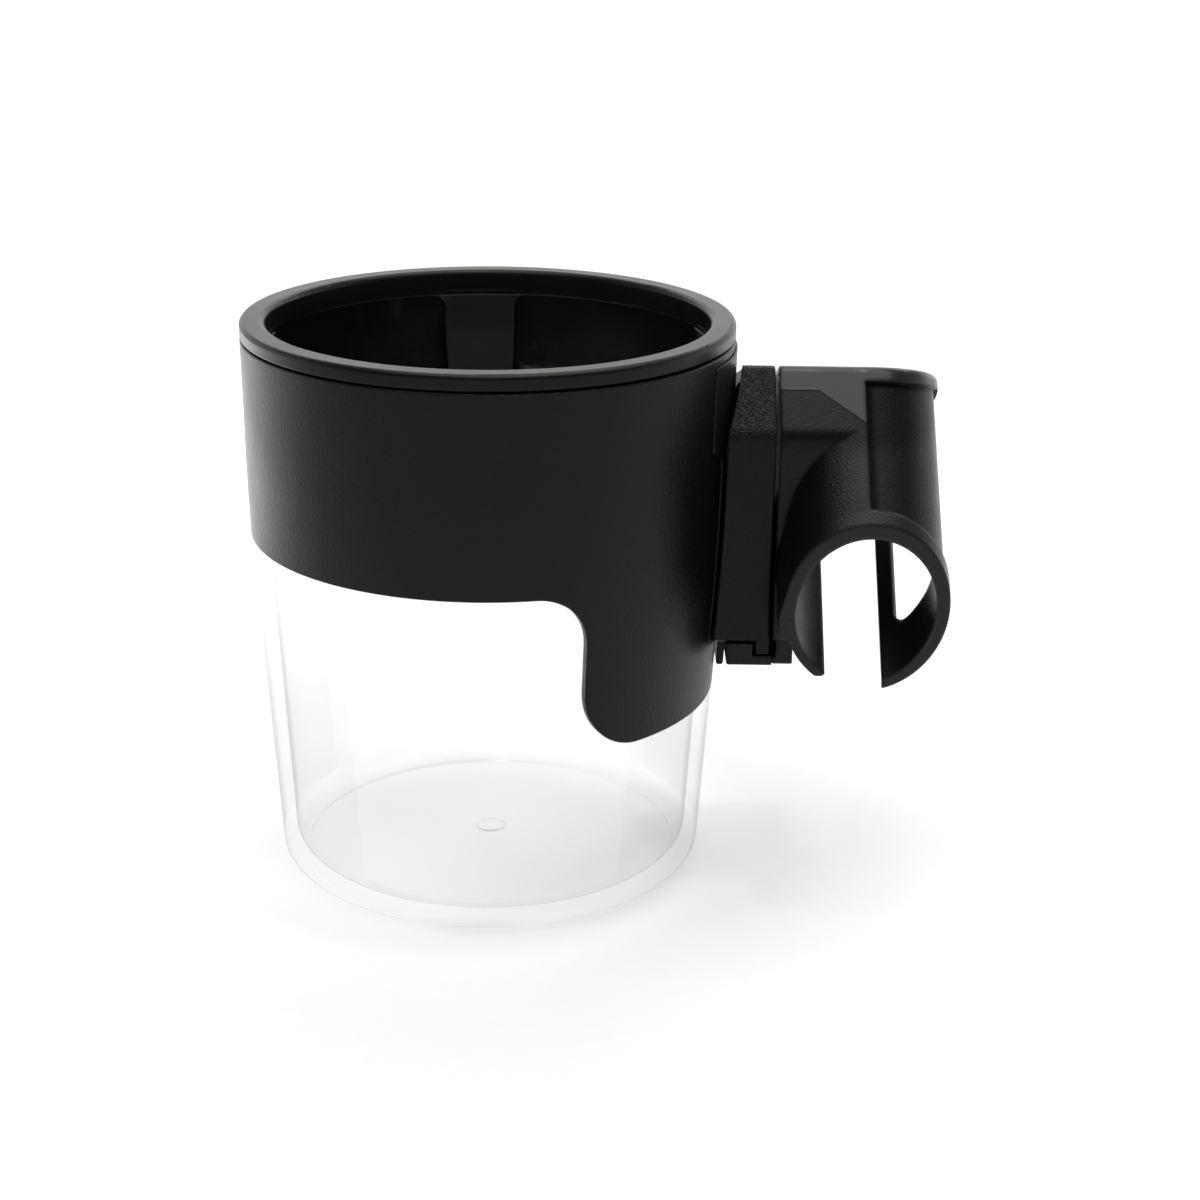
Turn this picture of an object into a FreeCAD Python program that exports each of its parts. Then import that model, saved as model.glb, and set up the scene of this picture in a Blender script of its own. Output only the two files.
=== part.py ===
import FreeCAD, Part
import math
import os

# Clip-on cup holder: a clear cup in a black collar, a lift-out rim ring with four grip
# tongues, a receiver block on the collar and a C-shaped clip that slides out of the block.
# Frame: millimetres, +Z up. The origin is where the cup's axis meets the surface that the
# cup stands on. +X points from the cup to the clip, and -Y is the front.

V = FreeCAD.Vector

# ---------------------------------------------------------------- driving dimensions
RIM_OUTER_R = 50.0          # rim ring and top of the collar
RIM_INNER_R = 44.6          # mouth of the rim ring
TOP_Z = 116.7               # top of the rim ring, the height of the whole holder
SEAM_Z = 113.4              # middle of the groove between rim ring and collar
SEAM_GAP = 0.4
BAND_BOTTOM_Z = 72.6        # lower edge of the collar away from the clip
SKIRT_BOTTOM_Z = 38.8       # lower edge of the collar's skirt, under the receiver
SKIRT_HALF_ANGLE = 64.6     # degrees either side of the clip
SKIRT_CORNER_R = 13.0
SKIRT_FILLET_R = 10.3
COLLAR_WALL = 1.8
CUP_WALL = 3.2
CUP_FLOOR = 3.2
CUP_CORNER_R = 4.2
GATE_MARK_R = 3.0
EDGE_ROUND = 0.35
FIT = 0.15                  # gap between parts that are assembled and stay together

TUBE_ANGLE = 45.0           # slope of the tube that the clip holds, degrees from level
TUBE_R = 13.8               # radius of the clip's bore
CLIP_WALL = 2.7
CLIP_X = 76.2               # distance of the tube's axis from the cup's axis
JAW_GAP_MIN_X = 68.9        # edges of the opening between the jaws
JAW_GAP_MAX_X = 80.4
BLOCK_FRONT_Y = -18.0       # front face of the receiver block and of the clip's plate
MATING_X = 57.8             # right face of the receiver block
MATING_GAP = 0.7

TONGUE_ANGLES = {"back": 95.7, "left": 185.7, "front": 275.7, "right": 5.7}
TONGUE_SPAN = 20.0          # width of a tongue, degrees round the rim

# ---------------------------------------------------------------- worked-out dimensions
COLLAR_TOP_Z = SEAM_Z - SEAM_GAP / 2
RING_BOTTOM_Z = SEAM_Z + SEAM_GAP / 2
CUP_TOP_Z = COLLAR_TOP_Z - 0.3
WINDOW_TOP_Z = TOP_Z - 5.4
TONGUE_TOP_Z = WINDOW_TOP_Z - 2.8
HINGE_GAP = 0.4
TONGUE_THICK = 1.2

# The outside of cup and collar is two cones joined by one long arc at the knee.
KNEE_Z = 74.0
UPPER_TAPER = 0.0105
LOWER_TAPER = 0.0648
KNEE_R = RIM_OUTER_R - UPPER_TAPER * (SEAM_Z - KNEE_Z)
KNEE_BLEND = 560.0

# The tube's axis passes through this point of the block's front plane.
AXIS_Z_AT_FRONT = 74.4
CLIP_OUTER_R = TUBE_R + CLIP_WALL
SLOPE = math.radians(TUBE_ANGLE)
AXIS_DIR = V(0, math.cos(SLOPE), math.sin(SLOPE))
CROWN_DIR = V(0, -math.sin(SLOPE), math.cos(SLOPE))
AXIS_POINT = V(CLIP_X, BLOCK_FRONT_Y, AXIS_Z_AT_FRONT)

# Side profile shared by the block and the clip's plate.
BLOCK_BOTTOM_Z = 53.3
CROWN_RISE = 0.12           # by this much the roof runs below the channel's crown
CREASE_Z = AXIS_Z_AT_FRONT + (CLIP_OUTER_R - CROWN_RISE) / math.cos(SLOPE)
RIDGE_Y = -6.8
RIDGE_Z = CREASE_Z + RIDGE_Y - BLOCK_FRONT_Y
BLOCK_BACK_Y = -BLOCK_FRONT_Y
TOP_SLOPE = math.radians(20.0)
EAVE_Y = 8.0
FRONT_TILT = math.radians(12.0)
END_ROUND = 2.0
FRONT_END_Y = -30.3         # the channel's front end, at the height of AXIS_POINT
RECESS_DEPTH = 1.0          # grip panel on the channel's right half
RECESS_MIN_X = CLIP_X - 0.7
RECESS_FRONT = 2.9
RECESS_TOP = 3.2
COVE_R = 2.4                # hollow along the panel's left edge
LEFT_TIP = -13.1            # level of the jaw tips, towards the crown from the axis
RIGHT_TIP = -15.5
LEFT_LIP_ROUND = 1.1
RIGHT_LIP_ROUND = 0.6
WINDOW_FRONT = 8.8          # slot in the right jaw
WINDOW_INNER = V(6.75, -12.04, 0)
WINDOW_OUTER = V(8.35, -14.23, 0)
WINDOW_CORNER_R = 2.2
FLANK_X = -17.4             # left side of the channel, from the axis
FLANK_TOP = -1.0
FLANK_FOOT = -6.0
PLATE_MIN_X = MATING_X + MATING_GAP
PLATE_MAX_X = CLIP_X - TUBE_R + 0.3
FOOT_BOTTOM_Z = BLOCK_BOTTOM_Z - 4.8
FOOT_TOP_Z = BLOCK_BOTTOM_Z - 0.4
FOOT_MIN_X = 49.2
GUSSET_X = 66.2             # right end of the foot
LUG_WIDTH = 2.6             # square lug under the block, in a notch of the foot
LUG_DEPTH = 4.0
LUG_HEIGHT = 2.4

# Rail and latch, inside the block.
RAIL_TOP_Z = 78.2
RAIL_NECK_HALF = 4.0
RAIL_HEAD_HALF = 7.0
RAIL_HEAD_MIN_X = 52.6
RAIL_NECK_MIN_X = 55.3
SLOT_GAP = 0.3
SLOT_TOP_Z = RAIL_TOP_Z + 0.8
RAIL_SCREW_HEIGHTS = (58.0, 66.0)
RAIL_SCREW_R = 1.25
RAIL_SCREW_LENGTH = 9.0
RAIL_SCREW_HEAD_R = 2.2
RAIL_SCREW_HEAD_H = 1.3
LEVER_HALF = 4.0
LEVER_BOTTOM_Z = 43.0
LEVER_PIVOT_Z = 86.0
LEVER_STANDOFF = 0.3
LEVER_THICK = 1.5
RELIEF_DEPTH = 1.2
PIN_R = 1.0
PIN_LENGTH = 17.0
BARREL_R = 1.9
BARREL_LENGTH = 5.0
LEVER_WINDOW_HALF = LEVER_HALF + 0.8
SADDLE_THICK = 0.4
BLOCK_WALL = 2.2
BLOCK_FACE = 2.4            # thickness of the block's right face
BLOCK_STANDOFF = 1.6        # groove between the collar and the block's outer edge
CORE_HALF = 9.4             # half width of the solid core round rail and lever
CONTACT_HALF = 14.5         # half width of the block's seat on the saddle plate
BOSS_R = 3.3
BOSS_LENGTH = 9.5
SADDLE_TOP_Z = SEAM_Z - 1.9
SCREW_ANGLE = 15.0
SCREW_HEIGHTS = (64.0, 91.0)
SCREW_R = 1.4
SCREW_HEAD_R = 2.6
SCREW_HEAD_H = 1.1
SCREW_LENGTH = 8.0
DRIVE_DEPTH = 0.7           # recess in a screw's head


# ---------------------------------------------------------------- geometry helpers
def shell_radius(z):
    """Outer radius of cup and collar at a height, leaving out the blend at the knee."""
    taper = UPPER_TAPER if z > KNEE_Z else LOWER_TAPER
    return KNEE_R + taper * (z - KNEE_Z)


def rounded_wire(corners, place):
    """Closed wire through (a, b, radius) corners, each rounded by its own radius."""
    edges = []
    starts = []
    ends = []
    count = len(corners)
    for i, (a, b, radius) in enumerate(corners):
        here = V(a, b, 0)
        before = V(*corners[i - 1][:2], 0) - here
        after = V(*corners[(i + 1) % count][:2], 0) - here
        before.normalize()
        after.normalize()
        if radius == 0:
            starts.append(here)
            ends.append(here)
            continue
        half = before.getAngle(after) / 2
        reach = radius / math.tan(half)
        middle = before + after
        middle.normalize()
        start = here + before * reach
        end = here + after * reach
        top = here + middle * (radius / math.sin(half) - radius)
        edges.append((i, Part.Arc(place(start), place(top), place(end)).toShape()))
        starts.append(start)
        ends.append(end)
    arcs = dict(edges)
    ordered = []
    for i in range(count):
        if i in arcs:
            ordered.append(arcs[i])
        line_start = ends[i]
        line_end = starts[(i + 1) % count]
        if (line_end - line_start).Length > 1e-6:
            ordered.append(Part.makeLine(place(line_start), place(line_end)))
    return Part.Wire(Part.__sortEdges__(ordered))


def turned(corners):
    """Solid of revolution round Z from (radius, height, corner radius) points."""
    wire = rounded_wire(corners, lambda p: V(p.x, 0, p.y))
    return Part.Face(wire).revolve(V(0, 0, 0), V(0, 0, 1), 360)


def prism_x(corners, x_from, x_to):
    """Prism along X from (y, z, corner radius) points."""
    wire = rounded_wire(corners, lambda p: V(x_from, p.x, p.y))
    return Part.Face(wire).extrude(V(x_to - x_from, 0, 0))


def prism_y(corners, y_from, y_to):
    """Prism along Y from (x, z, corner radius) points."""
    wire = rounded_wire(corners, lambda p: V(p.x, y_from, p.y))
    return Part.Face(wire).extrude(V(0, y_to - y_from, 0))


def box(x_from, x_to, y_from, y_to, z_from, z_to):
    size = V(x_to - x_from, y_to - y_from, z_to - z_from)
    return Part.makeBox(size.x, size.y, size.z, V(x_from, y_from, z_from))


def polar(radius, angle, z=0.0):
    turn = math.radians(angle)
    return V(radius * math.cos(turn), radius * math.sin(turn), z)


def shell_band(inner_offset, outer_offset, z_from, z_to):
    """Ring that follows the outside of cup and collar between two radial offsets."""
    low = shell_radius(z_from)
    high = shell_radius(z_to)
    return turned([
        (low + inner_offset, z_from, 0),
        (low + outer_offset, z_from, 0),
        (KNEE_R + outer_offset, KNEE_Z, KNEE_BLEND),
        (high + outer_offset, z_to, 0),
        (high + inner_offset, z_to, 0),
        (KNEE_R + inner_offset, KNEE_Z, KNEE_BLEND),
    ])


def half_space(point, normal, size=160.0):
    """Large cylinder that fills the side of a plane that its normal points to."""
    return Part.makeCylinder(size, size, point, normal)


# ---------------------------------------------------------------- collar and cup
def skirt_side(side, grow):
    """Side view of band and skirt, drawn on the tangent plane at one edge of the skirt."""
    angle = side * SKIRT_HALF_ANGLE
    radial = polar(1, angle)
    towards_clip = polar(1, angle - 90 * side)
    far = 160.0
    outline = [
        (far, SKIRT_BOTTOM_Z - grow, 0),
        (-grow, SKIRT_BOTTOM_Z - grow, SKIRT_CORNER_R + grow),
        (-grow, BAND_BOTTOM_Z - grow, SKIRT_FILLET_R - grow),
        (-far, BAND_BOTTOM_Z - grow, 0),
        (-far, far, 0),
        (far, far, 0),
    ]
    wire = rounded_wire(outline, lambda p: towards_clip * p.x - radial * far + V(0, 0, p.y))
    return Part.Face(wire).extrude(radial * (2 * far))


def skirt_mask(grow):
    """Everything that the collar covers: the band and the skirt under the receiver."""
    return skirt_side(-1, grow).common(skirt_side(1, grow))


def lever_relief():
    """Shallow pocket in the collar behind the release lever."""
    half = LEVER_WINDOW_HALF
    pocket = box(40, 60, -half, half, LEVER_BOTTOM_Z - 1.5, LEVER_PIVOT_Z + 4)
    return pocket.common(shell_band(-RELIEF_DEPTH, 3, SKIRT_BOTTOM_Z, SEAM_Z))


def screw_places():
    """Head seat and direction of each receiver screw, on the collar's wall."""
    places = []
    for z in SCREW_HEIGHTS:
        for angle in (-SCREW_ANGLE, SCREW_ANGLE):
            seat_r = shell_radius(z) - COLLAR_WALL + 0.1
            places.append((polar(seat_r, angle, z), polar(1, angle)))
    return places


def is_sharp(shape, edge):
    """True where the two faces that meet at an edge turn by more than 20 degrees."""
    middle = edge.valueAt((edge.FirstParameter + edge.LastParameter) / 2)
    normals = []
    for face in shape.ancestorsOfType(edge, Part.Face):
        u, v = face.Surface.parameter(middle)
        normals.append(face.normalAt(u, v))
    return len(normals) == 2 and normals[0].getAngle(normals[1]) > math.radians(20)


def outer_edges(shape):
    """Sharp edges that run along the outside of the collar."""
    found = []
    for edge in shape.Edges:
        spots = [edge.valueAt(edge.FirstParameter), edge.valueAt(edge.LastParameter)]
        outside = all(math.hypot(p.x, p.y) > shell_radius(p.z) - COLLAR_WALL / 2 for p in spots)
        if outside and is_sharp(shape, edge):
            found.append(edge)
    return found


def collar():
    shell = shell_band(-COLLAR_WALL, 0, SKIRT_BOTTOM_Z - 1, COLLAR_TOP_Z)
    body = shell.common(skirt_mask(0))
    body = body.makeFillet(EDGE_ROUND, outer_edges(body)).cut(lever_relief())
    for seat, direction in screw_places():
        head_room = Part.makeCylinder(SCREW_HEAD_R + 0.1, SCREW_HEAD_H + 1.05, seat - direction, direction)
        shank_room = Part.makeCylinder(SCREW_R + 0.1, SCREW_LENGTH, seat, direction)
        body = body.cut(head_room).cut(shank_room)
    return body


def clear_cup():
    base_r = shell_radius(0)
    step_r = base_r - 5.4
    top_r = shell_radius(CUP_TOP_Z)
    mouth_r = RIM_INNER_R + 1.6
    inner_knee = KNEE_R - CUP_WALL - 0.4
    floor_r = base_r - CUP_WALL + 0.4
    blank = turned([
        (0, 0.8, 0),
        (step_r, 0.8, 0),
        (step_r + 0.6, 0, 0.3),
        (base_r, 0, CUP_CORNER_R),
        (KNEE_R, KNEE_Z, KNEE_BLEND),
        (top_r, CUP_TOP_Z, 0),
        (mouth_r, CUP_TOP_Z, 0.5),
        (inner_knee, KNEE_Z, KNEE_BLEND),
        (floor_r, CUP_FLOOR, 4.0),
        (GATE_MARK_R + 0.5, CUP_FLOOR, 0.2),
        (GATE_MARK_R, CUP_FLOOR - 0.6, 0.2),
        (0, CUP_FLOOR - 0.6, 0),
    ])
    recess = shell_band(-COLLAR_WALL - 0.1, 5, SKIRT_BOTTOM_Z - 4, SEAM_Z + 5)
    return blank.cut(recess.common(skirt_mask(FIT)))


# ---------------------------------------------------------------- rim ring and tongues
def rim_ring():
    ring = turned([
        (RIM_INNER_R, WINDOW_TOP_Z, 0.4),
        (RIM_INNER_R + 0.3, TOP_Z, 1.2),
        (RIM_OUTER_R, TOP_Z, 1.0),
        (RIM_OUTER_R, RING_BOTTOM_Z, 0.3),
        (RIM_INNER_R + 1.4, RING_BOTTOM_Z, 0),
        (RIM_INNER_R + 1.4, WINDOW_TOP_Z, 0.4),
    ])
    for angle in TONGUE_ANGLES.values():
        root = turned_sector([
            (RIM_INNER_R, TONGUE_TOP_Z + HINGE_GAP, 0),
            (RIM_INNER_R, WINDOW_TOP_Z + 1, 0),
            (RIM_INNER_R + TONGUE_THICK, WINDOW_TOP_Z + 1, 0),
            (RIM_INNER_R + TONGUE_THICK, TONGUE_TOP_Z + HINGE_GAP, 0),
        ], angle)
        ring = ring.fuse(root)
    return ring.removeSplitter()


def turned_sector(corners, angle):
    """Solid of revolution over the width of one tongue, centred on an angle."""
    wire = rounded_wire(corners, lambda p: V(p.x, 0, p.y))
    sector = Part.Face(wire).revolve(V(0, 0, 0), V(0, 0, 1), TONGUE_SPAN)
    sector.rotate(V(0, 0, 0), V(0, 0, 1), angle - TONGUE_SPAN / 2)
    return sector


def grip_tongue(angle):
    """Springy finger that leans in from the rim to grip a narrower beaker."""
    top = TONGUE_TOP_Z
    thick = TONGUE_THICK
    return turned_sector([
        (RIM_INNER_R - 0.2, top, 0),
        (RIM_INNER_R - 1.0, top - 5, 14),
        (RIM_INNER_R - 6.2, top - 18, 12),
        (RIM_INNER_R - 6.9, top - 23.5, 0.5),
        (RIM_INNER_R - 6.9 + thick, top - 24, 0.5),
        (RIM_INNER_R - 6.2 + thick, top - 18.6, 12),
        (RIM_INNER_R - 1.0 + thick, top - 5.4, 14),
        (RIM_INNER_R - 0.2 + thick, top, 0),
    ], angle)


# ---------------------------------------------------------------- receiver
def side_profile(bottom_z, inset=0.0):
    """Side outline of block and clip plate, looking along X: sloped roof over a box."""
    front = BLOCK_FRONT_Y + inset
    back = BLOCK_BACK_Y - inset
    chamfer = inset * math.tan(SLOPE / 2)
    crease_z = CREASE_Z - chamfer
    ridge_z = RIDGE_Z - inset * 1.25
    ridge_y = front + ridge_z - crease_z
    eave_y = EAVE_Y - inset * 0.75
    eave_z = ridge_z - (eave_y - ridge_y) * math.tan(TOP_SLOPE)
    back_z = eave_z - (back - eave_y)
    return [
        (front, bottom_z + inset, 1.0),
        (front, crease_z, 3.5),
        (ridge_y, ridge_z, END_ROUND),
        (eave_y, eave_z, 2.0),
        (back, back_z, 3.0),
        (back, bottom_z + inset, 1.0),
    ]


def saddle_plate():
    """Thin curved plate between the collar and the receiver block."""
    top_half = 21.6
    lower_half = 16.5
    wide_z = SADDLE_TOP_Z - 18
    bottom_z = BLOCK_BOTTOM_Z - 2.0
    outline = prism_x([
        (-lower_half, bottom_z, 3),
        (-lower_half, wide_z, 4),
        (-top_half, wide_z, 2),
        (-top_half, SADDLE_TOP_Z, 1.5),
        (top_half, SADDLE_TOP_Z, 1.5),
        (top_half, wide_z, 2),
        (lower_half, wide_z, 4),
        (lower_half, bottom_z, 3),
    ], 30, 60)
    plate = shell_band(0.02, SADDLE_THICK, SKIRT_BOTTOM_Z, SEAM_Z).common(outline)
    plate = plate.cut(box(30, 60, -LEVER_WINDOW_HALF, LEVER_WINDOW_HALF, 30, LEVER_PIVOT_Z + 4))
    for seat, direction in screw_places():
        plate = plate.cut(Part.makeCylinder(SCREW_R + 0.1, SCREW_LENGTH, seat, direction))
    return plate


def lever_pivot():
    return V(shell_radius(LEVER_PIVOT_Z) + 1.7, 0, LEVER_PIVOT_Z)


def block_shell():
    """Hollow hood of the receiver block with its core and screw bosses, before the bores."""
    outer = prism_x(side_profile(BLOCK_BOTTOM_Z), 35, MATING_X)
    outer = outer.makeFillet(0.45, edges_on_plane(outer, V(MATING_X, 0, 0), V(1, 0, 0)))
    cavity = prism_x(side_profile(BLOCK_BOTTOM_Z, BLOCK_WALL), 30, MATING_X - BLOCK_FACE)
    core = box(49, MATING_X, -CORE_HALF, CORE_HALF, BLOCK_BOTTOM_Z, RAIL_TOP_Z + 2.2)
    cheeks = box(45, MATING_X, -CORE_HALF, CORE_HALF, RAIL_TOP_Z, LEVER_PIVOT_Z + 5)
    core = core.fuse(cheeks)
    for seat, direction in screw_places():
        core = core.fuse(Part.makeCylinder(BOSS_R, BOSS_LENGTH, seat, direction))
    return outer.cut(cavity).fuse(core.common(outer))


def block_seat():
    """What is taken off the block so that it sits on the saddle plate, with a groove round it."""
    inside = Part.makeCylinder(30, 80, V(0, 0, 40))
    inside = inside.fuse(shell_band(-25, SADDLE_THICK + 0.04, SKIRT_BOTTOM_Z, SEAM_Z))
    contact = box(30, 70, -CONTACT_HALF, CONTACT_HALF, 30, CREASE_Z - 2)
    groove = shell_band(-5, BLOCK_STANDOFF, SKIRT_BOTTOM_Z, SEAM_Z).cut(contact)
    return inside.fuse(groove)


def rail_slot():
    """Room in the block for the rail's neck and head."""
    neck = RAIL_NECK_HALF + SLOT_GAP
    head = RAIL_HEAD_HALF + SLOT_GAP
    room = box(RAIL_NECK_MIN_X - 1, MATING_X + 1, -neck, neck, 50, SLOT_TOP_Z)
    return room.fuse(box(RAIL_HEAD_MIN_X - SLOT_GAP, RAIL_NECK_MIN_X + SLOT_GAP, -head, head, 50, SLOT_TOP_Z))


def lever_room():
    """Room in the block for the lever, its barrel and its pin."""
    half = LEVER_HALF + 0.4
    pivot = lever_pivot()
    across = V(0, 1, 0)
    room = box(45, RAIL_HEAD_MIN_X - SLOT_GAP + 0.1, -half, half, 50, LEVER_PIVOT_Z + 3.4)
    room = room.fuse(Part.makeCylinder(BARREL_R + 0.6, 2 * half, pivot - across * half, across))
    bore_half = PIN_LENGTH / 2 + 0.2
    return room.fuse(Part.makeCylinder(PIN_R + 0.02, 2 * bore_half, pivot - across * bore_half, across))


def receiver_block():
    block = block_shell().cut(block_seat()).cut(rail_slot()).cut(lever_room())
    for seat, direction in screw_places():
        block = block.cut(Part.makeCylinder(SCREW_R + 0.02, SCREW_LENGTH + 0.2, seat, direction))
    lug = box(MATING_X - LUG_WIDTH, MATING_X, BLOCK_FRONT_Y, BLOCK_FRONT_Y + LUG_DEPTH,
              BLOCK_BOTTOM_Z - LUG_HEIGHT, BLOCK_BOTTOM_Z + 1.5)
    return block.fuse(lug).removeSplitter()


def pan_head_screw(seat, direction, head_r, head_h, shank_r, length):
    """Screw with its head on the seat and a round drive recess."""
    head = Part.makeCylinder(head_r, head_h, seat, direction)
    shank = Part.makeCylinder(shank_r, length, seat, direction)
    drive = Part.makeCylinder(head_r * 0.36, DRIVE_DEPTH, seat, direction)
    return head.fuse(shank).cut(drive)


def receiver_screws():
    """Four screws from inside the collar into the block's bosses."""
    screws = []
    for seat, direction in screw_places():
        screws.append(pan_head_screw(seat, direction, SCREW_HEAD_R, SCREW_HEAD_H, SCREW_R, SCREW_LENGTH))
    return Part.makeCompound(screws)


# ---------------------------------------------------------------- latch
def release_lever():
    """Spring latch lever: thumb tab below the block, barrel on the pivot pin above."""
    pivot = lever_pivot()
    across = V(0, 1, 0)
    foot_x = shell_radius(LEVER_BOTTOM_Z) + LEVER_STANDOFF
    top_x = shell_radius(LEVER_PIVOT_Z) + LEVER_STANDOFF
    knee_x = KNEE_R + LEVER_STANDOFF
    bar = prism_y([
        (foot_x, LEVER_BOTTOM_Z, 0.6),
        (knee_x, KNEE_Z, 0),
        (top_x, LEVER_PIVOT_Z, 0),
        (top_x + BARREL_R, LEVER_PIVOT_Z, 0),
        (knee_x + BARREL_R, KNEE_Z, 0),
        (shell_radius(BLOCK_BOTTOM_Z) + LEVER_STANDOFF + LEVER_THICK, BLOCK_BOTTOM_Z, 0),
        (foot_x + LEVER_THICK, LEVER_BOTTOM_Z, 0.6),
    ], -LEVER_HALF, LEVER_HALF)
    for side_y in (-LEVER_HALF - 0.5, BARREL_LENGTH / 2):
        bar = bar.cut(Part.makeCylinder(BARREL_R + 0.4, 2.0, pivot + across * side_y, across))
    barrel = Part.makeCylinder(BARREL_R, BARREL_LENGTH, pivot - across * BARREL_LENGTH / 2, across)
    bore = Part.makeCylinder(PIN_R + 0.06, 10, pivot - across * 5, across)
    tooth_z = BLOCK_BOTTOM_Z + 7.0
    tooth_x = RAIL_HEAD_MIN_X - SLOT_GAP
    root_x = shell_radius(tooth_z) + LEVER_STANDOFF + 1.0
    tooth = prism_y([
        (root_x, tooth_z - 1.5, 0),
        (tooth_x, tooth_z + 1.0, 0),
        (tooth_x, tooth_z + 2.4, 0.3),
        (root_x, tooth_z + 2.6, 0),
    ], -2.5, 2.5)
    return bar.fuse(barrel).fuse(tooth).cut(bore)


def lever_pin():
    return Part.makeCylinder(PIN_R, PIN_LENGTH, lever_pivot() - V(0, PIN_LENGTH / 2, 0), V(0, 1, 0))


def latch_spring():
    """Bowed leaf spring behind the lever, which pushes it away from the collar."""
    top = V(shell_radius(80.5) + LEVER_STANDOFF - 0.05, 80.5)
    middle = V(shell_radius(73) - 0.7, 73)
    bottom = V(shell_radius(65.5) + 0.1, 65.5)
    thick = 0.25
    return prism_y([
        (top.x, top.y, 0),
        (middle.x, middle.y, 18),
        (bottom.x, bottom.y, 0),
        (bottom.x - thick, bottom.y, 0),
        (middle.x - thick, middle.y, 18),
        (top.x - thick, top.y, 0),
    ], -1.5, 1.5)


# ---------------------------------------------------------------- clip
def axis_at(distance):
    return AXIS_POINT + AXIS_DIR * distance


def clip_ends():
    """Point and normal of the planes that end the channel: front, sloped top, square eave."""
    front_normal = V(0, -math.cos(FRONT_TILT), -math.sin(FRONT_TILT))
    top_normal = V(0, math.sin(TOP_SLOPE), math.cos(TOP_SLOPE))
    eave_z = RIDGE_Z - (EAVE_Y - RIDGE_Y) * math.tan(TOP_SLOPE)
    front = (V(CLIP_X, FRONT_END_Y, AXIS_Z_AT_FRONT), front_normal)
    top = (V(CLIP_X, RIDGE_Y, RIDGE_Z), top_normal)
    eave = (V(CLIP_X, EAVE_Y, eave_z), AXIS_DIR)
    return front, top, eave


def clip_envelope(shrink_front=0.0, shrink_top=0.0):
    """Space between the channel's oblique front end and its far end."""
    front, top, eave = clip_ends()
    space = box(20, 120, -60, 60, 0, 140)
    for (point, normal), shrink in ((front, shrink_front), (top, shrink_top), (eave, shrink_top)):
        space = space.cut(half_space(point - normal * shrink, normal))
    return space


def along_tube(radius, length_from, length_to):
    return Part.makeCylinder(radius, length_to - length_from, axis_at(length_from), AXIS_DIR)


def tube_box(x_from, x_to, crown_from, crown_to, along_from, along_to):
    """Box set square to the tube: X, towards the crown, and along the axis."""
    solid = Part.makeBox(x_to - x_from, crown_to - crown_from, along_to - along_from)
    turn = FreeCAD.Matrix()
    turn.A12, turn.A22, turn.A32 = CROWN_DIR.x, CROWN_DIR.y, CROWN_DIR.z
    turn.A13, turn.A23, turn.A33 = AXIS_DIR.x, AXIS_DIR.y, AXIS_DIR.z
    corner = AXIS_POINT + CROWN_DIR * crown_from + AXIS_DIR * along_from
    turn.A14, turn.A24, turn.A34 = x_from, corner.y, corner.z
    return solid.transformGeometry(turn)


def edges_on_plane(shape, point, normal):
    """Edges of a shape that lie in a plane."""
    found = []
    for edge in shape.Edges:
        spots = [edge.valueAt(edge.FirstParameter), edge.valueAt(edge.LastParameter)]
        spots.append(edge.valueAt((edge.FirstParameter + edge.LastParameter) / 2))
        if all(abs((spot - point).dot(normal)) < 1e-4 for spot in spots):
            found.append(edge)
    return found


def channel_blank():
    """Solid bar that becomes the channel, with its end edges rounded."""
    bar = along_tube(CLIP_OUTER_R, -60, 60).common(clip_envelope())
    front, top, eave = clip_ends()
    bar = bar.makeFillet(END_ROUND, edges_on_plane(bar, *top) + edges_on_plane(bar, *eave))
    return bar.makeFillet(0.4, edges_on_plane(bar, *front))


def tube_prism(corners, along_from, along_to):
    """Prism along the tube from (X, towards the crown, corner radius) points about its axis."""
    start = axis_at(along_from)
    wire = rounded_wire(corners, lambda p: start + V(p.x, 0, 0) + CROWN_DIR * p.y)
    return Part.Face(wire).extrude(AXIS_DIR * (along_to - along_from))


def grip_recess():
    """Shallow panel round the right half of the channel, with a cove along its left edge."""
    block = tube_box(RECESS_MIN_X, CLIP_X + 30, -40, 40, -60, 60)
    block = block.common(clip_envelope(RECESS_FRONT, RECESS_TOP))
    front_point, front_normal = clip_ends()[0]
    on_front = edges_on_plane(block, front_point - front_normal * RECESS_FRONT, front_normal)
    block = block.makeFillet(2.0, [edge for edge in on_front if edge.BoundBox.XMax < CLIP_X])
    floor_r = CLIP_OUTER_R - RECESS_DEPTH
    cove_width = math.sqrt(COVE_R ** 2 - (COVE_R - RECESS_DEPTH) ** 2)
    cove_x = RECESS_MIN_X - CLIP_X + cove_width
    cove = along_tube(COVE_R, -60, 60)
    cove.translate(V(cove_x, 0, 0) + CROWN_DIR * (floor_r + COVE_R - 0.08))
    panel = block.common(along_tube(CLIP_OUTER_R + 4, -60, 60)).cut(along_tube(floor_r, -60, 60))
    panel = panel.cut(tube_box(RECESS_MIN_X - 1, CLIP_X + cove_x, -40, 40, -60, 60))
    return panel.fuse(block.common(cove))


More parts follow.
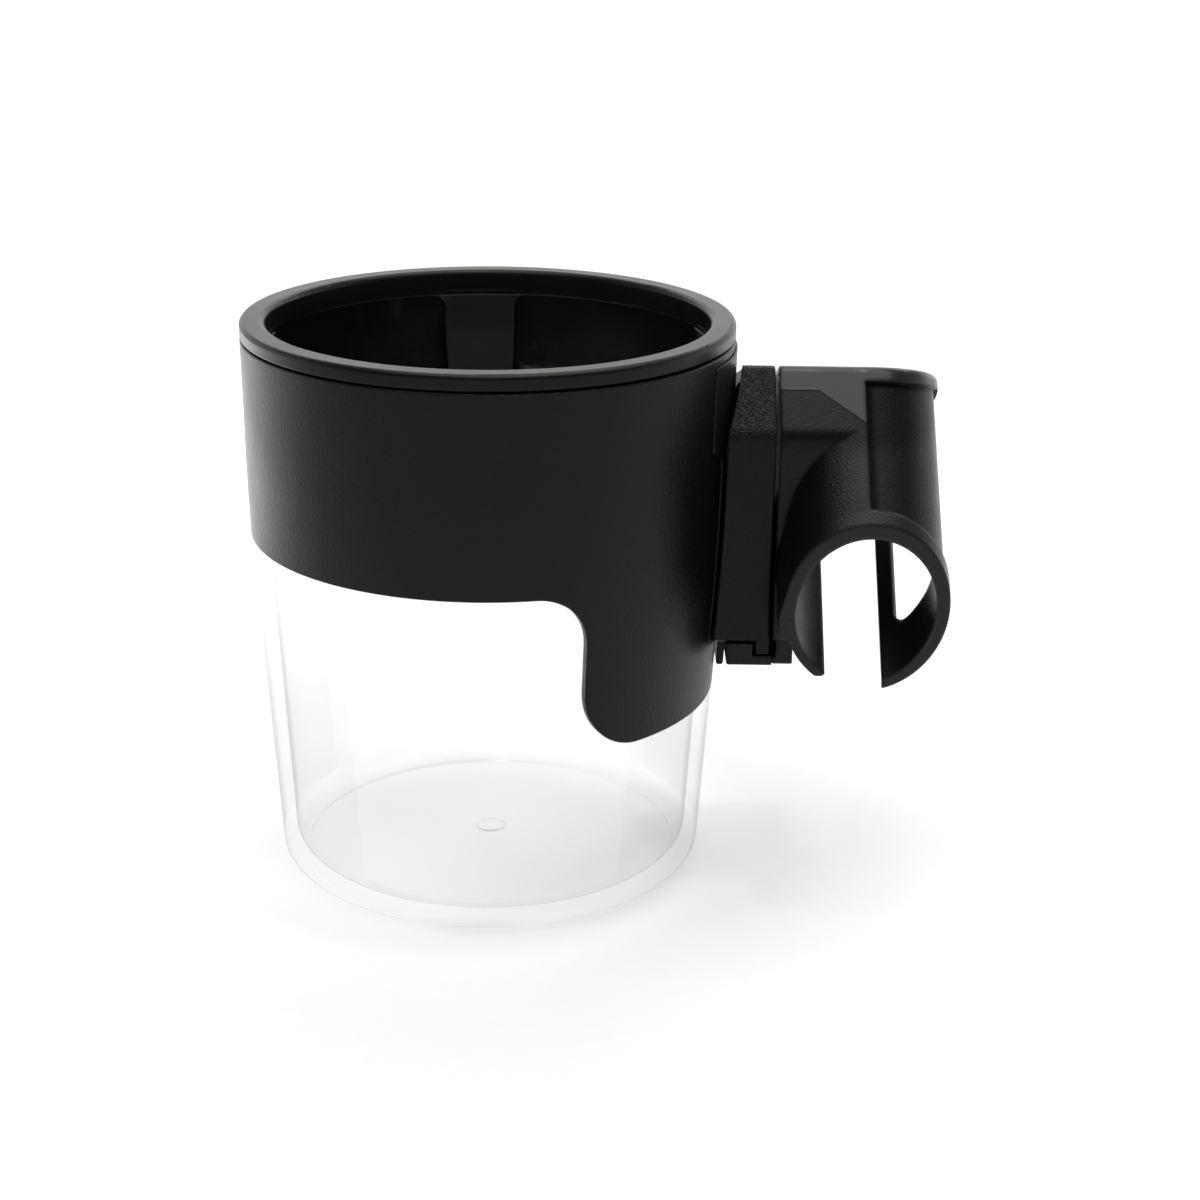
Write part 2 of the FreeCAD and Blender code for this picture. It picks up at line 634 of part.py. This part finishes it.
def jaw_window():
    """Long slot in the right jaw, cut nearly square to its wall."""
    across_wall = WINDOW_OUTER - WINDOW_INNER
    inwards = WINDOW_INNER - across_wall
    outwards = WINDOW_OUTER + across_wall * 2
    far = outwards + V(-across_wall.y, across_wall.x, 0) * 9
    slot = tube_prism([
        (inwards.x, inwards.y, 0),
        (outwards.x, outwards.y, 0),
        (far.x, far.y, 0),
        (far.x, -2.0, 0),
        (inwards.x, -2.0, 0),
    ], -60, 27.0)
    slot = slot.common(clip_envelope(WINDOW_FRONT, 0))
    front_point, front_normal = clip_ends()[0]
    on_front = edges_on_plane(slot, front_point - front_normal * WINDOW_FRONT, front_normal)
    lower = [edge for edge in on_front if 2 < edge.BoundBox.XLength < 9]
    return slot.makeFillet(WINDOW_CORNER_R, lower)


def window_notch():
    return tube_box(CLIP_X + 8, CLIP_X + 30, -4.5, 2.6, 20.0, 27.0)


def rounded_jaws(reach):
    """Both jaws as one long extrusion, with the long edges of their lips rounded."""
    jaws = along_tube(CLIP_OUTER_R, -reach, reach).cut(along_tube(TUBE_R, -reach, reach))
    jaws = jaws.cut(tube_box(JAW_GAP_MIN_X, JAW_GAP_MAX_X, -40, 0, -reach, reach))
    jaws = jaws.cut(tube_box(CLIP_X - 40, CLIP_X - 2, -60, LEFT_TIP, -reach, reach))
    jaws = jaws.cut(tube_box(CLIP_X + 2, CLIP_X + 40, -60, RIGHT_TIP, -reach, reach))
    for tip, radius in ((LEFT_TIP, LEFT_LIP_ROUND), (RIGHT_TIP, RIGHT_LIP_ROUND)):
        on_tip = edges_on_plane(jaws, AXIS_POINT + CROWN_DIR * tip, CROWN_DIR)
        jaws = jaws.makeFillet(radius, [edge for edge in on_tip if edge.Length > reach])
    return jaws


def mouth(reach):
    """Space between and below the rounded lips, within the channel's outer radius."""
    below = tube_box(CLIP_X - 40, CLIP_X + 40, -60, LEFT_TIP + 1.5, -reach, reach)
    return below.common(along_tube(CLIP_OUTER_R, -reach, reach)).cut(rounded_jaws(reach + 10))


def clip_flank():
    """Thick left side of the channel, which runs down from its crown to a rounded corner."""
    corner_r = math.hypot(FLANK_X, FLANK_TOP)
    touch_r = CLIP_OUTER_R - 0.06
    touch = math.atan2(FLANK_TOP, FLANK_X) - math.acos(touch_r / corner_r)
    touch_x = touch_r * math.cos(touch)
    touch_crown = touch_r * math.sin(touch)
    side = tube_prism([
        (FLANK_X, FLANK_FOOT, 1.2),
        (FLANK_X, FLANK_TOP, 9.0),
        (touch_x, touch_crown, 0),
        (-12, touch_crown, 0),
        (-12, FLANK_FOOT, 0),
    ], -60, 20)
    return side.common(clip_envelope())


def clip_plate():
    """Plate that carries the rail, the shoulder up to the channel, and the foot."""
    plate = prism_x(side_profile(FOOT_BOTTOM_Z), PLATE_MIN_X, PLATE_MAX_X)
    plate = plate.makeFillet(0.45, edges_on_plane(plate, V(PLATE_MIN_X, 0, 0), V(1, 0, 0)))
    shoulder = prism_x(side_profile(FOOT_BOTTOM_Z), PLATE_MIN_X + 2, CLIP_X - 1.2)
    above_axis = tube_box(PLATE_MIN_X - 1, CLIP_X + 1, 0.4, 60, -80, 80)
    gusset = prism_x(side_profile(FOOT_BOTTOM_Z), PLATE_MAX_X - 1, GUSSET_X)
    gusset = gusset.common(box(50, 80, -30, -8, 40, FOOT_TOP_Z + 2))
    return plate.fuse(shoulder.common(above_axis)).fuse(gusset)


def lug_notch(x_from, x_to):
    """Room in foot and plate for the lug under the block."""
    return box(x_from, x_to, BLOCK_FRONT_Y - 1, BLOCK_FRONT_Y + LUG_DEPTH + 0.5,
               FOOT_TOP_Z - LUG_WIDTH, FOOT_TOP_Z + 1)


def clip_body():
    reach = 60.0
    body = channel_blank().fuse(clip_plate()).fuse(clip_flank())
    body = body.cut(grip_recess())
    body = body.cut(along_tube(TUBE_R, -reach, reach))
    lead_in = along_tube(TUBE_R, -reach, reach)
    lead_in.translate(V(-0.4, 0, 0) - CROWN_DIR * 0.7)
    body = body.cut(lead_in)
    body = body.cut(tube_box(JAW_GAP_MIN_X, JAW_GAP_MAX_X, -40, 0, -reach, reach))
    body = body.cut(tube_box(PLATE_MAX_X, CLIP_X - 2, -60, LEFT_TIP, -reach, reach))
    body = body.cut(tube_box(CLIP_X + 2, CLIP_X + 30, -60, RIGHT_TIP, -reach, reach))
    body = body.cut(mouth(reach))
    body = body.cut(jaw_window()).cut(window_notch())
    body = body.cut(lug_notch(PLATE_MIN_X - 1, PLATE_MIN_X + 0.8))
    for z in RAIL_SCREW_HEIGHTS:
        body = body.cut(Part.makeCylinder(RAIL_SCREW_R + 0.02, 4.0, V(PLATE_MIN_X - 0.5, 0, z), V(1, 0, 0)))
    return body.removeSplitter()


def slide_rail():
    """T-section rail with its foot, screwed to the clip's plate."""
    neck = box(RAIL_NECK_MIN_X - 0.5, PLATE_MIN_X, -RAIL_NECK_HALF, RAIL_NECK_HALF, FOOT_BOTTOM_Z, RAIL_TOP_Z)
    head = prism_x([
        (-RAIL_HEAD_HALF, FOOT_BOTTOM_Z, 0),
        (-RAIL_HEAD_HALF, RAIL_TOP_Z, 2),
        (RAIL_HEAD_HALF, RAIL_TOP_Z, 2),
        (RAIL_HEAD_HALF, FOOT_BOTTOM_Z, 0),
    ], RAIL_HEAD_MIN_X, RAIL_NECK_MIN_X)
    foot = prism_y([
        (FOOT_MIN_X, FOOT_BOTTOM_Z, 0.5),
        (FOOT_MIN_X, FOOT_TOP_Z, 0.3),
        (PLATE_MIN_X, FOOT_TOP_Z, 0),
        (PLATE_MIN_X, FOOT_BOTTOM_Z, 0),
    ], BLOCK_FRONT_Y, 14.0)
    rail = neck.fuse(head).fuse(foot)
    lever_half = LEVER_HALF + 0.6
    rail = rail.cut(box(FOOT_MIN_X - 1, 50.6, -lever_half, lever_half, 40, 60))
    rail = rail.cut(lug_notch(MATING_X - LUG_WIDTH - 0.7, PLATE_MIN_X + 1))
    for z in RAIL_SCREW_HEIGHTS:
        bore = Part.makeCylinder(RAIL_SCREW_R + 0.05, 20, V(45, 0, z), V(1, 0, 0))
        seat_at = V(RAIL_HEAD_MIN_X, 0, z)
        seat = Part.makeCylinder(RAIL_SCREW_HEAD_R + 0.2, RAIL_SCREW_HEAD_H + 0.4, seat_at, V(1, 0, 0))
        rail = rail.cut(bore).cut(seat)
    return rail.removeSplitter()


def rail_screws():
    """Two screws through the rail into the clip's plate."""
    screws = []
    for z in RAIL_SCREW_HEIGHTS:
        seat = V(RAIL_HEAD_MIN_X + 0.4, 0, z)
        screws.append(pan_head_screw(seat, V(1, 0, 0), RAIL_SCREW_HEAD_R, RAIL_SCREW_HEAD_H,
                                     RAIL_SCREW_R, RAIL_SCREW_LENGTH))
    return Part.makeCompound(screws)


# ---------------------------------------------------------------- write the parts
def main():
    os.makedirs("parts", exist_ok=True)
    nodes = {
        "clear_cup": clear_cup(),
        "collar": collar(),
        "rim_ring": rim_ring(),
        "saddle_plate": saddle_plate(),
        "receiver_block": receiver_block(),
        "receiver_screws": receiver_screws(),
        "release_lever": release_lever(),
        "lever_pin": lever_pin(),
        "latch_spring": latch_spring(),
        "clip_body": clip_body(),
        "slide_rail": slide_rail(),
        "rail_screws": rail_screws(),
    }
    for name, angle in TONGUE_ANGLES.items():
        nodes["grip_tongue_" + name] = grip_tongue(angle)
    for name, shape in nodes.items():
        shape.exportStep("parts/" + name + ".step")
        bounds = shape.BoundBox
        print(name, shape.isValid(), len(shape.Solids), round(shape.Volume, 1),
              [round(value, 1) for value in (bounds.XMin, bounds.YMin, bounds.ZMin,
                                             bounds.XMax, bounds.YMax, bounds.ZMax)])


main()
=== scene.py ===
import math

import bmesh
import bpy
from mathutils import Matrix, Vector


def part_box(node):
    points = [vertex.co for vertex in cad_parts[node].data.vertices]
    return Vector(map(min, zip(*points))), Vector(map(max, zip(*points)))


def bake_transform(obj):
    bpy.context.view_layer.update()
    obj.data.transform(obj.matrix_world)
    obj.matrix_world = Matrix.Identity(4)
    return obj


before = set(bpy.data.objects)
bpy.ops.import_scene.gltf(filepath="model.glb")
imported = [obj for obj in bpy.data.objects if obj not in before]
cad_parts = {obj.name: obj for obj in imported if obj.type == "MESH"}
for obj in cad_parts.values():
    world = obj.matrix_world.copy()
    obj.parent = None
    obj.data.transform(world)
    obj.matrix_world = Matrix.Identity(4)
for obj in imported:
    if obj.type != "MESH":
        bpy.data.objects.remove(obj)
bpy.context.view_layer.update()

CAMERA_SPOT = (0.02322, -0.43663, 0.21449)
CAMERA_PITCH = 19.99
CAMERA_ROLL = 0.76
CAMERA_LENS = 65.87
TUBE_POINT = (0.0762, -0.018, 0.0744)       # on the axis of the clip's bore
TUBE_DIRECTION = (0, 0.7071, 0.7071)
CROWN_DIRECTION = (0, 0.342, 0.940)         # square to the clip's roof
FRONT_DIRECTION = (0, 0.978, 0.208)         # square to the clip's front
PANEL_EDGE_X = 0.0755                       # left edge of the clip's grip panel
FLOOR_TOP_Z = 0.0034                        # top of the cup's floor, where its wall starts
GATE_MARK_R = 0.003
TONGUE_ANGLES = (("back", 95.7), ("left", 185.7), ("front", 275.7), ("right", 5.7))
TONGUE_HALF_ANGLE = 9.9
ROOT_INNER_R = 0.0443
ROOT_OUTER_R = 0.0452


# ---------------------------------------------------------------- camera
def add_camera():
    pitch = math.radians(CAMERA_PITCH)
    roll = math.radians(CAMERA_ROLL)
    forward = Vector((0, math.cos(pitch), -math.sin(pitch)))
    level_up = Vector((0, math.sin(pitch), math.cos(pitch)))
    right = Vector((1, 0, 0)) * math.cos(roll) + level_up * math.sin(roll)
    up = level_up * math.cos(roll) - Vector((1, 0, 0)) * math.sin(roll)
    turn = Matrix((right, up, -forward)).transposed()
    data = bpy.data.cameras.new("camera")
    data.sensor_width = 36
    data.lens = CAMERA_LENS
    data.clip_start = 0.01
    camera = bpy.data.objects.new("camera", data)
    camera.matrix_world = Matrix.Translation(CAMERA_SPOT) @ turn.to_4x4()
    bpy.context.scene.collection.objects.link(camera)
    bpy.context.scene.camera = camera


# ---------------------------------------------------------------- node materials
class Nodes:
    """Short hand for building one procedural material."""

    def __init__(self, name):
        self.material = bpy.data.materials.new(name)
        self.material.use_nodes = True
        self.tree = self.material.node_tree
        self.shader = self.tree.nodes["Principled BSDF"]
        self.place = self.add("ShaderNodeTexCoord").outputs["Object"]

    def add(self, kind, **values):
        node = self.tree.nodes.new(kind)
        for key, value in values.items():
            if hasattr(node, key):
                setattr(node, key, value)
            else:
                node.inputs[key].default_value = value
        return node

    def link(self, start, end):
        self.tree.links.new(start, end)

    def noise(self, scale, detail=2.0, roughness=0.5, stretch=(1, 1, 1)):
        mapping = self.add("ShaderNodeMapping", Scale=stretch)
        self.link(self.place, mapping.inputs["Vector"])
        noise = self.add("ShaderNodeTexNoise", Scale=scale, Detail=detail, Roughness=roughness)
        self.link(mapping.outputs[0], noise.inputs["Vector"])
        return noise.outputs["Fac"]

    def cells(self, scale):
        cells = self.add("ShaderNodeTexVoronoi", Scale=scale)
        self.link(self.place, cells.inputs["Vector"])
        return cells.outputs["Distance"]

    def ramp(self, source, low, high, from_value, to_value):
        """Maps source between low and high to from_value and to_value."""
        node = self.add("ShaderNodeMapRange")
        self.link(source, node.inputs[0])
        for index, value in enumerate((low, high, from_value, to_value), start=1):
            node.inputs[index].default_value = value
        return node.outputs[0]

    def maths(self, operation, first, second=None):
        node = self.add("ShaderNodeMath", operation=operation)
        self.link(first, node.inputs[0])
        if second is not None:
            self.link(second, node.inputs[1])
        return node.outputs[0]

    def along(self, direction):
        """How far a point lies along a direction from the frame's origin."""
        node = self.add("ShaderNodeVectorMath", operation="DOT_PRODUCT")
        self.link(self.place, node.inputs[0])
        node.inputs[1].default_value = direction
        return node.outputs["Value"]

    def distance_from(self, point, direction):
        """Distance of a point from a line through the frame."""
        vector = self.place
        for operation, value in (("SUBTRACT", point), ("CROSS_PRODUCT", direction), ("LENGTH", None)):
            node = self.add("ShaderNodeVectorMath", operation=operation)
            self.link(vector, node.inputs[0])
            if value is not None:
                node.inputs[1].default_value = value
            vector = node.outputs["Value" if value is None else "Vector"]
        return vector

    def mix_colour(self, factor, first, second):
        node = self.add("ShaderNodeMix", data_type="RGBA")
        self.link(factor, node.inputs[0])
        node.inputs[6].default_value = (*first, 1)
        node.inputs[7].default_value = (*second, 1)
        return node.outputs[2]

    def soft_edges(self, radius):
        """Normal that turns smoothly over each edge, so that edges catch the light."""
        return self.add("ShaderNodeBevel", samples=4, Radius=radius).outputs[0]

    def bump(self, height, strength, distance, under=None):
        node = self.add("ShaderNodeBump", Strength=strength, Distance=distance)
        self.link(height, node.inputs["Height"])
        if under is not None:
            self.link(under, node.inputs["Normal"])
        return node.outputs[0]

    def set(self, **values):
        for key, value in values.items():
            self.shader.inputs[key.replace("_", " ")].default_value = value


def black_plastic(name, dark, light, rough_low, rough_high, grain, grain_strength, gloss):
    """Moulded black plastic: spark-eroded grain and slow changes of tint and gloss."""
    nodes = Nodes(name)
    slow = nodes.noise(38, 3.0)
    fine = nodes.noise(grain, 2.0, 0.6)
    tint = nodes.mix_colour(nodes.ramp(slow, 0.35, 0.65, 0, 1), dark, light)
    nodes.link(tint, nodes.shader.inputs["Base Color"])
    nodes.link(nodes.ramp(slow, 0.3, 0.7, rough_low, rough_high), nodes.shader.inputs["Roughness"])
    edges = nodes.soft_edges(0.0003)
    nodes.link(nodes.bump(fine, grain_strength, 0.0001, edges), nodes.shader.inputs["Normal"])
    nodes.set(IOR=1.4, Specular_IOR_Level=gloss, Specular_Tint=(1.0, 0.94, 0.86, 1))
    return nodes.material


def block_plastic():
    """The receiver's plastic: coarse sparkling grain on its roof, finer grain below the crease."""
    nodes = Nodes("block_plastic")
    height = nodes.add("ShaderNodeSeparateXYZ")
    nodes.link(nodes.place, height.inputs[0])
    roof = nodes.ramp(height.outputs["Z"], 0.0945, 0.0965, 0.18, 1.0)
    grains = nodes.add("ShaderNodeMath", operation="MULTIPLY")
    nodes.link(nodes.ramp(nodes.cells(2600), 0.0, 0.7, 0, 1), grains.inputs[0])
    nodes.link(roof, grains.inputs[1])
    fine = nodes.noise(3200, 2.0, 0.6)
    normal = nodes.bump(grains.outputs[0], 0.8, 0.00016, nodes.soft_edges(0.0005))
    nodes.link(nodes.bump(fine, 0.3, 0.00008, normal), nodes.shader.inputs["Normal"])
    slow = nodes.noise(40, 3.0)
    nodes.link(nodes.ramp(slow, 0.3, 0.7, 0.24, 0.32), nodes.shader.inputs["Roughness"])
    tint = nodes.mix_colour(slow, (0.003, 0.0029, 0.0028), (0.005, 0.0049, 0.0048))
    nodes.link(tint, nodes.shader.inputs["Base Color"])
    nodes.set(IOR=1.4, Specular_IOR_Level=0.2, Specular_Tint=(1.0, 0.97, 0.94, 1))
    return nodes.material


def clip_plastic():
    """The clip's plastic: grained panels, and a polished band above a slanting parting line."""
    nodes = Nodes("clip_plastic")
    split = nodes.add("ShaderNodeSeparateXYZ")
    nodes.link(nodes.place, split.inputs[0])
    across = split.outputs["X"]
    front = nodes.ramp(nodes.along(FRONT_DIRECTION), -0.0114, -0.0111, 0, 1)
    roof = nodes.ramp(nodes.along(CROWN_DIRECTION), 0.0966, 0.0969, 1, 0)
    right = nodes.ramp(across, PANEL_EDGE_X, PANEL_EDGE_X + 0.0002, 0, 1)
    panel = nodes.maths("MULTIPLY", nodes.maths("MULTIPLY", front, roof), right)
    border = nodes.ramp(across, 0.0663, 0.0752, 0.1048, 0.0998)
    above = nodes.maths("SUBTRACT", split.outputs["Z"], border)
    grained = nodes.maths("MAXIMUM", nodes.ramp(above, -0.0001, 0.0001, 1, 0), panel)
    left = nodes.ramp(across, PANEL_EDGE_X, PANEL_EDGE_X + 0.0002, 1, 0)
    line = nodes.ramp(nodes.maths("ABSOLUTE", above), 0.00005, 0.00022, 1, 0)
    seam = nodes.maths("MULTIPLY", line, left)
    fine = nodes.noise(2300, 2.0, 0.65)
    slow = nodes.noise(45, 3.0)
    flow = nodes.noise(220, 3.0, 0.6, (1, 0.35, 0.35))
    edges = nodes.soft_edges(0.0011)
    normal = nodes.bump(nodes.maths("MULTIPLY", fine, grained), 0.9, 0.00013, edges)
    normal = nodes.bump(seam, 0.6, 0.0001, normal)
    normal = nodes.bump(flow, 0.2, 0.0004, normal)
    nodes.link(normal, nodes.shader.inputs["Normal"])
    base_gloss = nodes.ramp(grained, 0, 1, 0.2, 0.28)
    roughness = nodes.maths("ADD", base_gloss, nodes.ramp(slow, 0.3, 0.7, -0.03, 0.05))
    nodes.link(roughness, nodes.shader.inputs["Roughness"])
    # Painted shade: the specular level drops over the grip panel, most of all in a band along its left
    # edge, standing in for the shade of a rounded cove there.
    cove_painted_shade = nodes.ramp(across, PANEL_EDGE_X + 0.0002, PANEL_EDGE_X + 0.0027, 0.88, 0.4)
    shade = nodes.ramp(nodes.maths("MULTIPLY", panel, cove_painted_shade), 0, 1, 1, 0)
    facing_up = nodes.ramp(split.outputs["Z"], 0.0935, 0.0965, 0.25, 0.15)
    grained_shine = nodes.maths("MAXIMUM", facing_up, nodes.ramp(front, 0, 1, 0.32, 0))
    bore = nodes.ramp(nodes.distance_from(TUBE_POINT, TUBE_DIRECTION), 0.0143, 0.0145, 0.42, 0)
    polished_shine = nodes.ramp(grained, 0, 1, 0.4, 0)
    shine = nodes.maths("MAXIMUM", polished_shine, nodes.maths("MULTIPLY", grained_shine, shade))
    shine = nodes.maths("MAXIMUM", shine, bore)
    nodes.link(shine, nodes.shader.inputs["Specular IOR Level"])
    tint = nodes.mix_colour(slow, (0.003, 0.0029, 0.0028), (0.0045, 0.0043, 0.0042))
    nodes.link(tint, nodes.shader.inputs["Base Color"])
    nodes.set(IOR=1.42, Specular_Tint=(1.0, 0.97, 0.94, 1))
    return nodes.material


def clear_plastic():
    """Clear plastic: mirrors by its angle, lets most light through with a faint warm tint."""
    nodes = Nodes("clear_plastic")
    split = nodes.add("ShaderNodeSeparateXYZ")
    nodes.link(nodes.place, split.inputs[0])
    height = split.outputs["Z"]
    flow = nodes.noise(55, 2.0, 0.5, (1, 1, 0.25))
    frosted = nodes.ramp(height, FLOOR_TOP_Z, FLOOR_TOP_Z + 0.0008, 0.4, 0)
    polish = nodes.ramp(flow, 0.3, 0.7, 0.03, 0.07)
    nodes.link(nodes.maths("ADD", polish, frosted), nodes.shader.inputs["Roughness"])
    nodes.link(nodes.bump(flow, 0.05, 0.0004), nodes.shader.inputs["Normal"])
    fresnel = nodes.add("ShaderNodeFresnel", IOR=1.3).outputs[0]
    mirror = nodes.ramp(fresnel, 0.0, 1.0, 0.0, 0.08)
    streaks = nodes.ramp(nodes.noise(30, 3.0, 0.6, (1, 1, 0.15)), 0.3, 0.7, 0.017, 0.03)
    wall = nodes.ramp(height, FLOOR_TOP_Z, FLOOR_TOP_Z + 0.0008, 0.2, 1)
    body = nodes.maths("MULTIPLY", nodes.maths("ADD", mirror, streaks), wall)
    facing = nodes.add("ShaderNodeLayerWeight", Blend=0.5).outputs["Facing"]
    outline = nodes.ramp(facing, 0.78, 1.0, 0, 0.3)
    outwards = nodes.distance_from((0, 0, 0), (0, 0, 1))
    rising = nodes.ramp(outwards, GATE_MARK_R - 0.0004, GATE_MARK_R, 0, 0.2)
    falling = nodes.ramp(outwards, GATE_MARK_R, GATE_MARK_R + 0.0003, 0.2, 0)
    ring = nodes.maths("MINIMUM", rising, falling)
    gate_mark = nodes.maths("MULTIPLY", ring, nodes.ramp(height, 0.0022, 0.0026, 0, 1))
    alpha = nodes.maths("ADD", nodes.maths("ADD", body, outline), gate_mark)
    nodes.link(alpha, nodes.shader.inputs["Alpha"])
    tint = nodes.mix_colour(flow, (0.5, 0.48, 0.42), (0.6, 0.58, 0.52))
    nodes.link(tint, nodes.shader.inputs["Base Color"])
    nodes.set(Metallic=1.0, Specular_Tint=(0.3, 0.31, 0.31, 1))
    return nodes.material


def steel(name, tint, roughness):
    nodes = Nodes(name)
    drawn = nodes.noise(900, 2.0, 0.5, (0.08, 0.08, 1))
    nodes.link(nodes.ramp(drawn, 0.3, 0.7, roughness, roughness + 0.15), nodes.shader.inputs["Roughness"])
    nodes.link(nodes.bump(drawn, 0.15, 0.00004), nodes.shader.inputs["Normal"])
    nodes.link(nodes.mix_colour(drawn, tint, [c * 0.85 for c in tint]), nodes.shader.inputs["Base Color"])
    nodes.set(Metallic=1.0)
    return nodes.material


def dress(node, material):
    """Puts a material on a CAD node that keeps its own mesh."""
    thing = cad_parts[node]
    for slot in thing.material_slots:
        slot.material = material


# ---------------------------------------------------------------- detail pieces
def root_skin(name, angle, low_z, high_z, half_angle, flare, material):
    """Curved plate over a tongue's living hinge, which flares into the rim with round corners."""
    rows = 12
    columns = 28
    mesh = bmesh.new()
    sheets = []
    for radius in (ROOT_INNER_R, ROOT_OUTER_R):
        sheet = []
        for row in range(rows + 1):
            rise = row / rows
            reach = max(0.0, (rise - 0.35) / 0.65)
            half = half_angle + flare * (1 - math.sqrt(1 - reach * reach))
            z = low_z + (high_z - low_z) * rise
            line = []
            for column in range(columns + 1):
                turn = math.radians(angle + half * (2 * column / columns - 1))
                line.append(mesh.verts.new((radius * math.cos(turn), radius * math.sin(turn), z)))
            sheet.append(line)
        sheets.append(sheet)
    for sheet in sheets:
        for first, second in zip(sheet, sheet[1:]):
            for column in range(columns):
                mesh.faces.new((first[column], first[column + 1], second[column + 1], second[column]))
    inner, outer = sheets
    for line in (0, rows):
        for column in range(columns):
            mesh.faces.new((inner[line][column], inner[line][column + 1],
                            outer[line][column + 1], outer[line][column]))
    for column in (0, columns):
        for row in range(rows):
            mesh.faces.new((inner[row][column], inner[row + 1][column],
                            outer[row + 1][column], outer[row][column]))
    bmesh.ops.recalc_face_normals(mesh, faces=mesh.faces)
    data = bpy.data.meshes.new(name)
    mesh.to_mesh(data)
    mesh.free()
    for face in data.polygons:
        face.use_smooth = True
    skin = bpy.data.objects.new(name, data)
    bpy.context.scene.collection.objects.link(skin)
    rounding = skin.modifiers.new("rounding", "BEVEL")
    rounding.width = 0.00015
    rounding.segments = 2
    data.materials.append(material)
    return skin


def add_tongue_roots():
    """One skin per tongue, from just below the tongue's top up to just above the rim's lowest edge."""
    window_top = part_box("rim_ring")[0].z + 0.0025
    for name, angle in TONGUE_ANGLES:
        hinge_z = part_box("grip_tongue_" + name)[1].z
        skin = root_skin("tongue_root_" + name, angle, hinge_z - 0.0012, window_top,
                         TONGUE_HALF_ANGLE, 3.0, tongue)
        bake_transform(skin)


# ---------------------------------------------------------------- the room
def add_floor():
    bpy.ops.mesh.primitive_plane_add(size=8, location=(0, 0, 0))
    floor = bpy.context.object
    floor.name = "floor"
    nodes = Nodes("floor_paper")
    fibre = nodes.noise(300, 2.0)
    shade = nodes.mix_colour(fibre, (0.93, 0.93, 0.93), (0.96, 0.96, 0.96))
    nodes.link(shade, nodes.shader.inputs["Base Color"])
    nodes.set(Roughness=0.9)
    floor.data.materials.append(nodes.material)


def add_light(name, spot, aim, width, height, power):
    data = bpy.data.lights.new(name, "AREA")
    data.shape = "RECTANGLE"
    data.size = width
    data.size_y = height
    data.energy = power
    light = bpy.data.objects.new(name, data)
    light.location = spot
    light.rotation_euler = (Vector(aim) - Vector(spot)).to_track_quat("-Z", "Y").to_euler()
    bpy.context.scene.collection.objects.link(light)


def add_pool(name, spot, aim, cone, power):
    """Soft round pool of light on the paper."""
    data = bpy.data.lights.new(name, "SPOT")
    data.energy = power
    data.spot_size = math.radians(cone)
    data.spot_blend = 1.0
    data.shadow_soft_size = 0.05
    light = bpy.data.objects.new(name, data)
    light.location = spot
    light.rotation_euler = (Vector(aim) - Vector(spot)).to_track_quat("-Z", "Y").to_euler()
    bpy.context.scene.collection.objects.link(light)


def add_world():
    """Pale studio: bright low down and behind, dimmer overhead and on the photographer's side."""
    world = bpy.data.worlds.new("studio")
    world.use_nodes = True
    tree = world.node_tree
    place = tree.nodes.new("ShaderNodeTexCoord")
    split = tree.nodes.new("ShaderNodeSeparateXYZ")
    tree.links.new(place.outputs["Generated"], split.inputs[0])
    product = tree.nodes.new("ShaderNodeMath")
    product.operation = "MULTIPLY"
    for socket, axis, limits in ((0, "Y", (-0.6, 0.3, 0.25, 1.1)), (1, "Z", (0.12, 0.45, 1.0, 0.4))):
        fade = tree.nodes.new("ShaderNodeMapRange")
        fade.interpolation_type = "SMOOTHSTEP"
        for index, value in enumerate(limits, start=1):
            fade.inputs[index].default_value = value
        tree.links.new(split.outputs[axis], fade.inputs[0])
        tree.links.new(fade.outputs[0], product.inputs[socket])
    background = tree.nodes["Background"]
    tree.links.new(product.outputs[0], background.inputs["Color"])
    background.inputs["Strength"].default_value = 1.35
    bpy.context.scene.world = world
    bpy.context.scene.view_settings.view_transform = "Standard"


add_camera()
add_floor()
add_world()
add_light("ceiling", (0.1, -0.1, 1.15), (0.05, -0.05, 0), 1.3, 1.0, 11.5)
add_light("far_floor", (0, 2.4, 1.6), (0, 2.4, 0), 3.0, 1.6, 41)
add_pool("left_pool", (-0.32, 0.24, 1.1), (-0.32, 0.24, 0), 30, 128)
add_pool("right_pool", (0.45, 0.3, 1.1), (0.45, 0.3, 0), 26, 52)
add_pool("mouth_fill", (0.08, 0, 1.1), (0.012, 0, 0), 7.5, 8)

satin = black_plastic("collar_satin", (0.0028, 0.0026, 0.0022), (0.004, 0.0037, 0.0032),
                      rough_low=0.34, rough_high=0.42, grain=1300, grain_strength=0.8, gloss=0.26)
smooth = black_plastic("rim_satin", (0.0022, 0.0019, 0.0014), (0.0034, 0.003, 0.0024),
                       rough_low=0.28, rough_high=0.34, grain=2600, grain_strength=0.2, gloss=0.26)
tongue = black_plastic("tongue_satin", (0.006, 0.0057, 0.005), (0.008, 0.0077, 0.007),
                       rough_low=0.36, rough_high=0.44, grain=2600, grain_strength=0.2, gloss=0.4)
grained = block_plastic()
semigloss = clip_plastic()
clear = clear_plastic()
plated = steel("plated_screw", (0.55, 0.54, 0.5), 0.25)
spring = steel("spring_wire", (0.4, 0.4, 0.42), 0.3)
for node in ("collar", "saddle_plate"):
    dress(node, satin)
dress("rim_ring", smooth)
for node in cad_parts:
    if node.startswith("grip_tongue"):
        dress(node, tongue)
for node in ("receiver_block", "release_lever"):
    dress(node, grained)
for node in ("clip_body", "slide_rail"):
    dress(node, semigloss)
for node in ("receiver_screws", "rail_screws", "lever_pin"):
    dress(node, plated)
dress("latch_spring", spring)
dress("clear_cup", clear)

add_tongue_roots()
